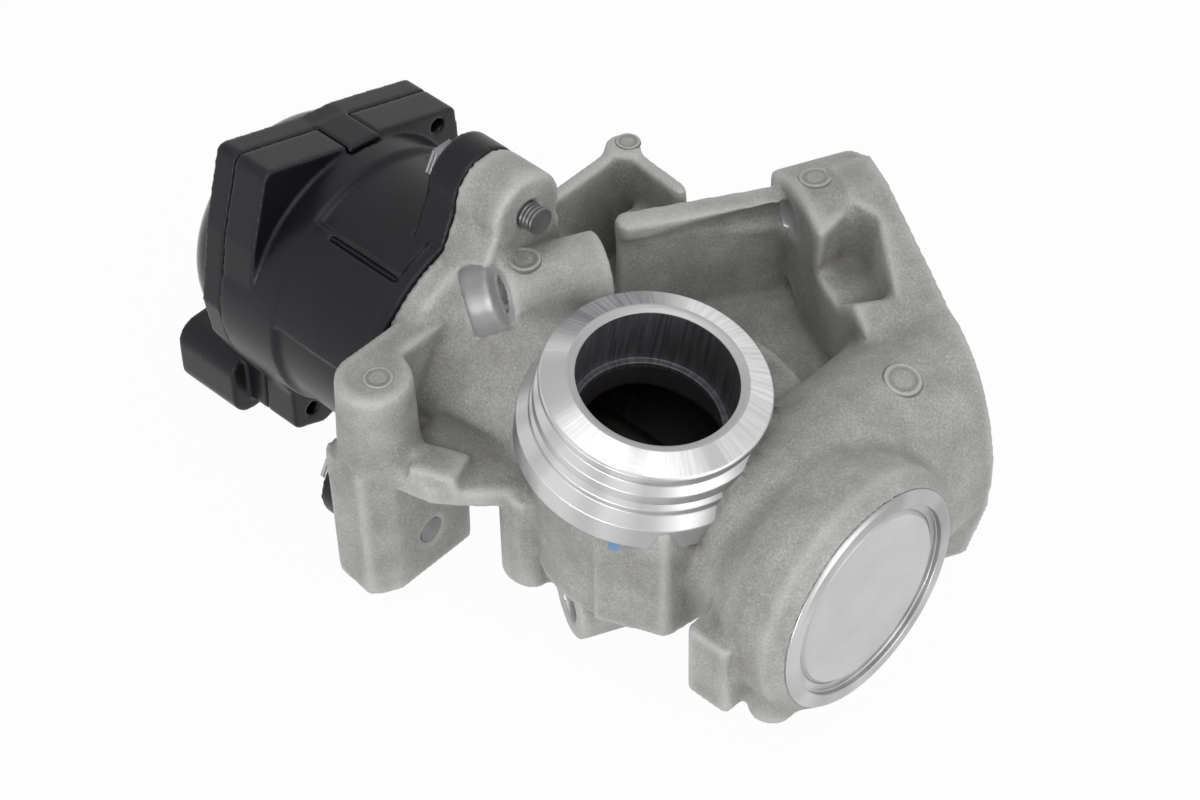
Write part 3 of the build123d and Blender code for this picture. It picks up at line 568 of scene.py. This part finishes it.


# For each ring of a mark: how much painted shade goes into its dip and skirt, and how much painted
# highlight onto its disc and rim
ring_shade = np.array([0.0, 0.7, 0.1, 0.0, 0.0, 0.9, 1.0])
ring_highlight = np.array([0.2, 0.2, 0.4, 0.8, 0.8, 0.0, 0.0])
for label, spot, facing, size in (
        ("top", (-35.4, -11.1, 28.5), (0, 0, 1), 2.9),
        ("slope", (11.1, -14.6, 21.3), (0.30, 0.18, 0.94), 3.3),
        ("left", (-25.1, -97.7, 19.0), (0, 0, 1), 2.7),
        ("boss", (-36.0, -66.5, 27.0), (0, 0, 1), 2.9),
        ("pillar", (-60.5, -37.5, 25.4), (0, 0, 1), 2.2)):
    mark = shown("pin_mark_" + label, pin_mark("pin_mark_" + label, spot, facing, size))
    keep_values(mark.data, "hollow", np.append(np.repeat(ring_shade, mark_around), 0.0))
    keep_values(mark.data, "ridge", np.append(np.repeat(ring_highlight, mark_around), 0.2))
    mark.data.materials.append(cast_metal)
    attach(mark, "housing")

# Turned spout: the lip, chamfer, undercut, bands, collar and bore, cut bright on a lathe.
# The fine turning marks run round it; light and dark fans of painted reflection lie across the chamfer and
# bands, and the bore is painted dark as shade.
spout_profile = np.array([
    (-14.2, 12.9), (-13.0, 12.9), (-13.0, 14.1), (-0.5, 14.1), (0.0, 15.6), (-1.7, 19.8), (-2.1, 20.2),
    (-3.2, 20.2), (-3.9, 19.2), (-5.2, 19.2), (-6.4, 20.6), (-8.5, 20.6), (-9.0, 19.9), (-10.0, 20.9),
    (-11.1, 20.9), (-13.1, 22.9), (-18.0, 22.9), (-18.7, 19.55), (-20.4, 19.5), (-21.0, 18.0),
    (-19.0, 15.4)]) * mm


def turned_piece(name, profile, origin, axis, ease, around=224):
    """A closed profile of (distance along, radius) carried round the axis. Each corner is eased by
    the curve (1-t)(1-t) A + 2t(1-t) corner + t t B, with A and B a short way off on its two sides.
    A point is origin + along * axis + radius * (cos turn * first + sin turn * second), and its map
    holds the share of the turn and the length run along the profile in millimetres."""
    before = np.roll(profile, 1, 0) - profile
    after = np.roll(profile, -1, 0) - profile
    near = np.minimum(ease, 0.4 * np.linalg.norm(before, axis=1))[:, None]
    far = np.minimum(ease, 0.4 * np.linalg.norm(after, axis=1))[:, None]
    start = profile + before / np.linalg.norm(before, axis=1)[:, None] * near
    end = profile + after / np.linalg.norm(after, axis=1)[:, None] * far
    t = np.linspace(0, 1, 5)[None, :, None]
    curve = ((1 - t) ** 2 * start[:, None] + 2 * t * (1 - t) * profile[:, None] + t ** 2 * end[:, None])
    curve = curve.reshape(-1, 2)
    first = np.cross(axis, [0.0, 0.0, 1.0] if abs(axis[2]) < 0.9 else [0.0, 1.0, 0.0])
    first /= np.linalg.norm(first)
    second = np.cross(axis, first)
    turn = np.linspace(0, 2 * np.pi, around, endpoint=False)
    ring = np.cos(turn)[:, None] * first + np.sin(turn)[:, None] * second
    verts = origin + curve[:, 0, None, None] * axis + curve[:, 1, None, None] * ring[None]
    rows = len(curve)
    row, col = np.meshgrid(np.arange(rows), np.arange(around), indexing="ij")
    below, beside = (row + 1) % rows, (col + 1) % around
    corners = np.stack([row * around + col, row * around + beside, below * around + beside,
                        below * around + col], -1).reshape(-1, 4)
    made = bpy.data.meshes.new(name)
    made.from_pydata(verts.reshape(-1, 3).tolist(), [], corners.tolist())
    run = np.concatenate([[0.0], np.cumsum(np.linalg.norm(np.diff(curve, axis=0), axis=1))]) / mm
    u = np.stack([col, col + 1, col + 1, col], -1).reshape(-1) / around
    v = np.stack([run[row], run[row], run[(row + 1).clip(0, rows - 1)], run[(row + 1).clip(0, rows - 1)]],
                 -1).reshape(-1)
    layer = made.uv_layers.new(name="round")
    layer.data.foreach_set("uv", np.stack([u, v], 1).astype(np.float32).ravel())
    work = bmesh.new()
    work.from_mesh(made)
    bmesh.ops.recalc_face_normals(work, faces=work.faces)
    work.to_mesh(made)
    work.free()
    return shown(name, made)


spout_ring = turned_piece("turned_spout", spout_profile, spout_centre, spout_dir, 0.22 * mm)

# Turning marks: fine lines round the axis; painted reflections in narrow streaks, wide fans and
# dark fans across them; and the run along the profile in millimetres, which tells bore, lip, chamfer and
# bands apart
fan_drift = 0.003
lathe, given, result = group("lathe", {"Lines": 9.0, "Fans": 2.6}, ("Reflection_Fan", "Line", "Reflection_Streak", "Run", "Dark_Reflection"))
map_place = put(lathe, "ShaderNodeUVMap", uv_map="round")
parts = put(lathe, "ShaderNodeSeparateXYZ", {0: map_place.outputs[0]})
angle = put(lathe, "ShaderNodeMath", {0: parts.outputs[0], 1: 2 * np.pi}, operation="MULTIPLY")
cosine = put(lathe, "ShaderNodeMath", {0: angle.outputs[0]}, operation="COSINE")
sine = put(lathe, "ShaderNodeMath", {0: angle.outputs[0]}, operation="SINE")
slow = put(lathe, "ShaderNodeMath", {0: parts.outputs[1], 1: fan_drift}, operation="MULTIPLY")
wheel = put(lathe, "ShaderNodeCombineXYZ", {0: cosine.outputs[0], 1: sine.outputs[0], 2: slow.outputs[0]})
wide = put(lathe, "ShaderNodeTexNoise", {"Vector": wheel.outputs[0], "Scale": given.outputs["Fans"],
                                         "Detail": 1.5})
fan = put(lathe, "ShaderNodeMapRange", {"Value": wide.outputs[0], "From Min": 0.36, "From Max": 0.64})
narrow = put(lathe, "ShaderNodeTexNoise", {"Vector": wheel.outputs[0], "Scale": 30.0, "Detail": 3.0})
streak = put(lathe, "ShaderNodeMapRange", {"Value": narrow.outputs[0], "From Min": 0.36, "From Max": 0.66})
dense = put(lathe, "ShaderNodeMath", {0: parts.outputs[1], 1: given.outputs["Lines"]}, operation="MULTIPLY")
wound = put(lathe, "ShaderNodeCombineXYZ", {0: cosine.outputs[0], 1: sine.outputs[0], 2: dense.outputs[0]})
line = put(lathe, "ShaderNodeTexNoise", {"Vector": wound.outputs[0], "Scale": 1.0, "Detail": 4.0})

# Painted dark reflections in fans on the chamfer: each has its angle, how far it reaches to either side and
# its depth
painted_reflection_fans = ((8, 52, 0.95), (76, 30, 0.55), (147, 9, 0.35), (190, 9, 0.45), (205, 50, 0.2))
full_depth_share = 0.3
lobes = []
for degrees, spread, depth in painted_reflection_fans:
    aim, rim, core = np.radians(degrees), np.radians(spread), np.radians(spread * full_depth_share)
    side_part = put(lathe, "ShaderNodeMath", {0: sine.outputs[0], 1: np.sin(aim)}, operation="MULTIPLY")
    near = put(lathe, "ShaderNodeMath", {0: cosine.outputs[0], 1: np.cos(aim), 2: side_part.outputs[0]},
               operation="MULTIPLY_ADD")
    lobe = put(lathe, "ShaderNodeMapRange", {"Value": near.outputs[0], "From Min": np.cos(rim),
                                             "From Max": np.cos(core), "To Max": depth},
               interpolation_type="SMOOTHSTEP")
    lobes.append(lobe.outputs[0])
dark = joined(lathe, lobes, "MAXIMUM")
for label, value in (("Reflection_Fan", fan.outputs[0]), ("Line", line.outputs[0]), ("Reflection_Streak", streak.outputs[0]),
                     ("Run", parts.outputs[1]), ("Dark_Reflection", dark)):
    lathe.links.new(value, result.inputs[label])

turned_bright = (0.80, 0.80, 0.805, 1)
turned_middle = (0.42, 0.423, 0.43, 1)
turned_reflection_dark = (0.105, 0.107, 0.115, 1)
bore_shade = (0.09, 0.092, 0.10, 1)
bore_reflection_streak = (0.34, 0.345, 0.36, 1)
lip_dark = (0.25, 0.25, 0.255, 1)
lip_pale = (0.52, 0.52, 0.525, 1)
bore_end, lip_end, chamfer_end = 14.9, 16.6, 21.1


def lathe_cut(tree, shader, use, low, high, depth):
    """Roughness from low to high by the turning lines, gloss drawn out along them, and their relief."""
    tree.links.new(ranged(tree, use.outputs["Line"], low, high), shader.inputs["Roughness"])
    around_axis = put(tree, "ShaderNodeTangent", direction_type="UV_MAP", uv_map="round")
    tree.links.new(around_axis.outputs[0], shader.inputs["Tangent"])
    bumped(tree, shader, use.outputs["Line"], depth)


turned_metal, tree, shader = material("turned_aluminium", Anisotropic=0.6)
use = placed(tree, lathe, Lines=11.0, Fans=2.6)
run = use.outputs["Run"]
# Painted reflections: the bands and the chamfer go light and dark in fans and streaks by the angle round
# the axis
bands = blended(tree, ranged(tree, use.outputs["Reflection_Fan"], 0.1, 0.75), turned_middle, turned_bright)
bands = blended(tree, ranged(tree, use.outputs["Line"], 0.0, 0.5), bands, turned_middle)
fans = blended(tree, use.outputs["Dark_Reflection"], turned_bright, turned_reflection_dark)
fans = blended(tree, ranged(tree, use.outputs["Reflection_Streak"], 0.0, 0.5), fans, turned_middle)
fans = blended(tree, ranged(tree, use.outputs["Line"], 0.0, 0.25), fans, turned_middle)
lip = blended(tree, ranged(tree, use.outputs["Line"], 0.0, 1.0), lip_dark, lip_pale)
# The bore is painted dark as shade, with lighter streaks of painted reflection
wall = blended(tree, ranged(tree, use.outputs["Reflection_Streak"], 0.0, 0.35), bore_shade, bore_reflection_streak)
after_bore = put(tree, "ShaderNodeMapRange",
                 {"Value": run, "From Min": bore_end - 0.15, "From Max": bore_end + 0.1}).outputs[0]
after_lip = put(tree, "ShaderNodeMapRange",
                {"Value": run, "From Min": lip_end - 0.1, "From Max": lip_end + 0.1}).outputs[0]
colour = blended(tree, after_bore, wall, lip)
colour = blended(tree, after_lip, colour, fans)
colour = blended(tree, compared(tree, run, chamfer_end, False), colour, bands)
tree.links.new(colour, shader.inputs["Base Color"])
tree.links.new(ranged(tree, after_bore, 0.4, 1.0), shader.inputs["Metallic"])
lathe_cut(tree, shader, use, 0.28, 0.42, 0.02 * mm)
spout_ring.data.materials.append(turned_metal)
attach(spout_ring, "housing")

# Ring round the plug: a turned step and a bright bead, faced on the same lathe
plug_profile = np.array([(-1.5, 17.02), (-0.4, 17.02), (-0.4, 18.6), (0.8, 18.6), (0.8, 20.7),
                         (0.15, 21.5), (-1.5, 20.9)]) * mm
plug_ring = turned_piece("turned_plug_ring", plug_profile, plug_centre, valve_dir, 0.3 * mm)
faced_reflection_dark = (0.33, 0.332, 0.34, 1)
faced_middle = (0.45, 0.452, 0.455, 1)
faced_reflection_bright = (0.66, 0.66, 0.665, 1)
ring_metal, tree, shader = material("faced_ring", Metallic=1.0, Anisotropic=0.5)
use = placed(tree, lathe, Lines=6.0, Fans=1.4)
# Painted reflections: the ring goes from dark to bright in fans round the axis
colour = blended(tree, ranged(tree, use.outputs["Reflection_Fan"], 0.0, 0.8), faced_reflection_dark, faced_reflection_bright)
colour = blended(tree, ranged(tree, use.outputs["Line"], 0.0, 0.4), colour, faced_middle)
tree.links.new(colour, shader.inputs["Base Color"])
lathe_cut(tree, shader, use, 0.24, 0.36, 0.01 * mm)
plug_ring.data.materials.append(ring_metal)
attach(plug_ring, "housing")

# End plug: a pale pressed aluminium disc that closes the casting's bore, driven in until
# its face lies just below the ring's bead. The face is left matt, with a faint cloudy tone.
plug_pale = (0.68, 0.682, 0.688, 1)
plug_dull = (0.55, 0.552, 0.56, 1)
plug_metal, tree, shader = material("pressed_plug", Metallic=0.35)
use = placed(tree, grain, Grit=900.0, Cloud=60.0)
colour = blended(tree, ranged(tree, use.outputs["Tone"], 0.0, 0.8), plug_pale, plug_dull)
tree.links.new(colour, shader.inputs["Base Color"])
tree.links.new(ranged(tree, use.outputs["Tone"], 0.38, 0.48), shader.inputs["Roughness"])
bumped(tree, shader, use.outputs["Height"], 0.02 * mm)


def finish(made, *nodes):
    """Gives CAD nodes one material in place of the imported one."""
    for label in nodes:
        node_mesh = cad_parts[label].data
        node_mesh.materials.clear()
        node_mesh.materials.append(made)


finish(plug_metal, "end_plug")

# Actuator body: a black glass-filled moulding screwed to the casting, with a raised panel,
# three ears and a skirt that the lid closes. Its edges are softly rounded by the mould.
plastic_black = (0.006, 0.0063, 0.0088, 1)
plastic_cloud = (0.013, 0.0135, 0.018, 1)
plastic_wear_and_highlight = (0.034, 0.035, 0.042, 1)
dust_grey = (0.18, 0.18, 0.18, 1)
dust_share = 0.14
plastic, tree, shader = material("black_moulding", Specular_IOR_Level=0.26)
use = placed(tree, grain, Grit=2300.0, Cloud=55.0)
ridge = put(tree, "ShaderNodeAttribute", attribute_name="ridge")
polish = put(tree, "ShaderNodeAttribute", attribute_name="polish")
colour = blended(tree, ranged(tree, use.outputs["Tone"], 0.0, 0.6), plastic_black, plastic_cloud)
# Lighter along the ridges of the edges: partly wear and partly a painted highlight
colour = blended(tree, ranged(tree, ridge.outputs["Fac"], 0.0, 0.6), colour, plastic_wear_and_highlight)
place = put(tree, "ShaderNodeTexCoord")
motes = put(tree, "ShaderNodeTexVoronoi", {"Vector": place.outputs["Object"], "Scale": 210.0})
near_mote = put(tree, "ShaderNodeMapRange", {"Value": motes.outputs["Distance"], "From Min": 0.03,
                                             "From Max": 0.06, "To Min": 0.5, "To Max": 0.0})
sparse = put(tree, "ShaderNodeSeparateColor", {0: motes.outputs["Color"]})
chosen = compared(tree, sparse.outputs[0], 1 - dust_share, False)
dust = joined(tree, [near_mote.outputs[0], chosen], "MULTIPLY")
colour = blended(tree, dust, colour, dust_grey)
tree.links.new(colour, shader.inputs["Base Color"])
rough = ranged(tree, use.outputs["Tone"], 0.30, 0.38)
gloss = put(tree, "ShaderNodeMix", {0: polish.outputs["Fac"], 2: rough, 3: 0.16}).outputs[0]
tree.links.new(gloss, shader.inputs["Roughness"])
relief = joined(tree, [use.outputs["Height"], ranged(tree, polish.outputs["Fac"], 1.0, 0.1)], "MULTIPLY")
bumped(tree, shader, relief, 0.035 * mm)

plastic_triangles = 192000
edge_rounds, wide_rounds = 5, 16
dome_start, dome_radius = -139.4 * mm, 24.3 * mm


def plastic_copy(node, name, voxel):
    """A moulding's solid with its edges eased, its edges marked for wear and a painted highlight, and its
    polished dome marked.
    """
    piece = moulded(node, name, voxel)
    made = piece.data
    links = edge_array(made)
    start = point_array(made)
    soft = relaxed(start, links, np.full(len(start), 0.5), edge_rounds)
    wide = relaxed(soft, links, np.full(len(start), 0.5), wide_rounds)
    made.vertices.foreach_set("co", soft.astype(np.float32).ravel())
    made.update()
    rise = ((soft - wide) * facing_array(made)).sum(1)
    keep_values(made, "ridge", eased_step(rise, 0.07 * mm, 0.3 * mm))
    thinned(piece, plastic_triangles)
    station, radius = along(point_array(piece.data), plug_centre, valve_dir)
    keep_values(piece.data, "polish", (station < dome_start) & (radius < dome_radius))
    piece.data.materials.append(plastic)
    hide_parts(node)
    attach(piece, "housing")


plastic_copy("actuator_body", "moulded_body", 0.38 * mm)

# Actuator lid: the same black moulding, snapped on by its tab, with a smooth glossy dome
# over the motor's end and the connector shroud below it
plastic_copy("actuator_lid", "moulded_lid", 0.36 * mm)

# Screws and their sleeves: zinc-plated steel, with a rolled thread on the shanks. Ridges
# square to the axis stand in for the thread, as a wave of scale s repeats every pi / (10 s).
zinc_dark = (0.15, 0.153, 0.158, 1)
zinc_pale = (0.28, 0.283, 0.29, 1)
thread_pitch = 0.8 * mm
zinc, tree, shader = material("zinc_plate", Metallic=0.9)
use = placed(tree, grain, Grit=1200.0, Cloud=160.0)
tree.links.new(blended(tree, use.outputs["Tone"], zinc_dark, zinc_pale), shader.inputs["Base Color"])
tree.links.new(ranged(tree, use.outputs["Tone"], 0.5, 0.38), shader.inputs["Roughness"])
place = put(tree, "ShaderNodeTexCoord")
level = put(tree, "ShaderNodeMapping", {"Vector": place.outputs["Object"], "Rotation": (0, 0, -lean)})
thread = put(tree, "ShaderNodeTexWave",
             {"Vector": level.outputs[0], "Scale": 2 * np.pi / (20 * thread_pitch)},
             wave_type="BANDS", bands_direction="X", wave_profile="TRI")
bumped(tree, shader, thread.outputs["Fac"], 0.12 * mm)
finish(zinc, "actuator_screws")


def grained(name, dark, light, grit, cloud, depth, **plain):
    """A material whose colour drifts from dark to light by a cloudy tone, over gritty relief."""
    made, tree, shader = material(name, **plain)
    use = placed(tree, grain, Grit=grit, Cloud=cloud)
    tree.links.new(blended(tree, use.outputs["Tone"], dark, light), shader.inputs["Base Color"])
    bumped(tree, shader, use.outputs["Height"], depth)
    return made, tree, shader, use.outputs["Tone"]


sleeve_metal, *_ = grained("sleeve_steel", dark=(0.40, 0.40, 0.41, 1), light=(0.54, 0.54, 0.55, 1),
                           grit=1500.0, cloud=200.0, depth=0.02 * mm, Metallic=0.9, Roughness=0.35)
finish(sleeve_metal, "screw_sleeves")

# Seals: black rubber, matt and slightly dusty, laid in their grooves
rubber, tree, shader, tone = grained("seal_rubber", dark=(0.015, 0.015, 0.015, 1),
                                     light=(0.032, 0.032, 0.031, 1), grit=1900.0, cloud=140.0,
                                     depth=0.04 * mm)
tree.links.new(ranged(tree, tone, 0.66, 0.8), shader.inputs["Roughness"])
finish(rubber, "stem_seal", "actuator_gasket", "lid_gasket")

# Poppet, stem, seat, keeper and screw spindle: stainless steel turned between centres, its
# lines square to the valve's axis. The bush is sintered bronze, the spring drawn wire.
spun, given, result = group("spun", {"Lines": 5200.0}, ("Line", "Tone"))
place = put(spun, "ShaderNodeTexCoord")
level = put(spun, "ShaderNodeMapping", {"Vector": place.outputs["Object"], "Rotation": (0, 0, -lean)})
parts = put(spun, "ShaderNodeSeparateXYZ", {0: level.outputs[0]})
dense = put(spun, "ShaderNodeMath", {0: parts.outputs[0], 1: given.outputs["Lines"]}, operation="MULTIPLY")
wound = put(spun, "ShaderNodeCombineXYZ", {0: dense.outputs[0]})
line = put(spun, "ShaderNodeTexNoise", {"Vector": wound.outputs[0], "Scale": 1.0, "Detail": 3.0})
cloud = put(spun, "ShaderNodeTexNoise", {"Vector": place.outputs["Object"], "Scale": 130.0, "Detail": 4.0})
spun.links.new(line.outputs[0], result.inputs["Line"])
spun.links.new(cloud.outputs[0], result.inputs["Tone"])


def spun_metal(name, dark, light, lines, low, high, depth):
    """A turned metal: tone between two colours, roughness from low to high, and fine lines."""
    made, tree, shader = material(name, Metallic=1.0)
    use = placed(tree, spun, Lines=lines)
    both = put(tree, "ShaderNodeMix", {0: 0.5, 2: use.outputs["Line"], 3: use.outputs["Tone"]}).outputs[0]
    tree.links.new(blended(tree, both, dark, light), shader.inputs["Base Color"])
    tree.links.new(ranged(tree, both, low, high), shader.inputs["Roughness"])
    bumped(tree, shader, use.outputs["Line"], depth)
    return made


stainless = spun_metal("turned_stainless", dark=(0.36, 0.35, 0.34, 1), light=(0.66, 0.65, 0.64, 1),
                       lines=5200.0, low=0.2, high=0.4, depth=0.01 * mm)
finish(stainless, "spring_retainer", "lead_screw", "guide_plate")
sooted = spun_metal("sooted_stainless", dark=(0.035, 0.033, 0.03, 1), light=(0.11, 0.105, 0.098, 1),
                    lines=5200.0, low=0.4, high=0.6, depth=0.01 * mm)
finish(sooted, "seat_ring", "poppet_head", "valve_stem")
bronze = spun_metal("sintered_bronze", dark=(0.10, 0.065, 0.035, 1), light=(0.22, 0.15, 0.08, 1),
                    lines=2600.0, low=0.4, high=0.6, depth=0.02 * mm)
finish(bronze, "stem_bush")
spring_wire = spun_metal("spring_wire", dark=(0.24, 0.24, 0.25, 1), light=(0.46, 0.46, 0.48, 1),
                         lines=900.0, low=0.25, high=0.4, depth=0.01 * mm)
finish(spring_wire, "stem_keeper")

# Return spring: drawn steel wire wound in a coil between the housing's floor and the
# retainer on the stem, which presses it shorter by the travel of the valve
coil = solid_copy("return_spring", "coiled_return_spring")
coil.data.materials.append(spring_wire)
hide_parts("return_spring")
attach(coil, "housing")
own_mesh(coil)

# Ball bearings: rings and balls of hardened steel, ground to a near mirror. The outer
# rings are pressed into the body and the inner ones onto the rotor.
ground_steel = spun_metal("ground_steel", dark=(0.56, 0.56, 0.58, 1), light=(0.74, 0.74, 0.76, 1),
                          lines=9000.0, low=0.1, high=0.2, depth=0.003 * mm)
finish(ground_steel, "front_bearing_outer", "front_bearing_balls", "rear_bearing_outer",
       "rear_bearing_balls", "front_bearing_inner", "rear_bearing_inner")

# Stator and rotor: a stack of electrical steel sheets, enamelled copper in its slots,
# sintered magnets, and the grey moulded hub and bearing plate
sheet_stack = spun_metal("steel_sheets", dark=(0.12, 0.12, 0.13, 1), light=(0.34, 0.34, 0.36, 1),
                         lines=12000.0, low=0.35, high=0.55, depth=0.05 * mm)
finish(sheet_stack, "stator_core")
copper = spun_metal("enamelled_copper", dark=(0.32, 0.12, 0.04, 1), light=(0.70, 0.34, 0.15, 1),
                    lines=7000.0, low=0.25, high=0.4, depth=0.12 * mm)
finish(copper, "stator_coils")
magnet = spun_metal("sintered_magnet", dark=(0.06, 0.06, 0.065, 1), light=(0.16, 0.16, 0.17, 1),
                    lines=1500.0, low=0.45, high=0.6, depth=0.01 * mm)
finish(magnet, "rotor_magnet", "sensor_magnet")
grey_moulding, *_ = grained("grey_moulding", dark=(0.15, 0.15, 0.16, 1), light=(0.22, 0.22, 0.23, 1),
                            grit=2200.0, cloud=120.0, depth=0.03 * mm, Roughness=0.5)
finish(grey_moulding, "rotor_nut", "bearing_plate")

# Board, sensor and pins: green solder mask over woven glass, a black moulded chip, and
# tinned brass contacts pressed through the lid
board_green, *_ = grained("solder_mask", dark=(0.012, 0.09, 0.035, 1), light=(0.025, 0.15, 0.06, 1),
                          grit=2600.0, cloud=240.0, depth=0.02 * mm, Roughness=0.3)
finish(board_green, "circuit_board")
chip, *_ = grained("chip_moulding", dark=(0.012, 0.012, 0.012, 1), light=(0.028, 0.028, 0.028, 1),
                   grit=3200.0, cloud=400.0, depth=0.02 * mm, Roughness=0.55)
finish(chip, "hall_sensor")
brass = spun_metal("tinned_brass", dark=(0.46, 0.37, 0.2, 1), light=(0.74, 0.62, 0.38, 1),
                   lines=3000.0, low=0.2, high=0.35, depth=0.005 * mm)
finish(brass, "connector_pins")
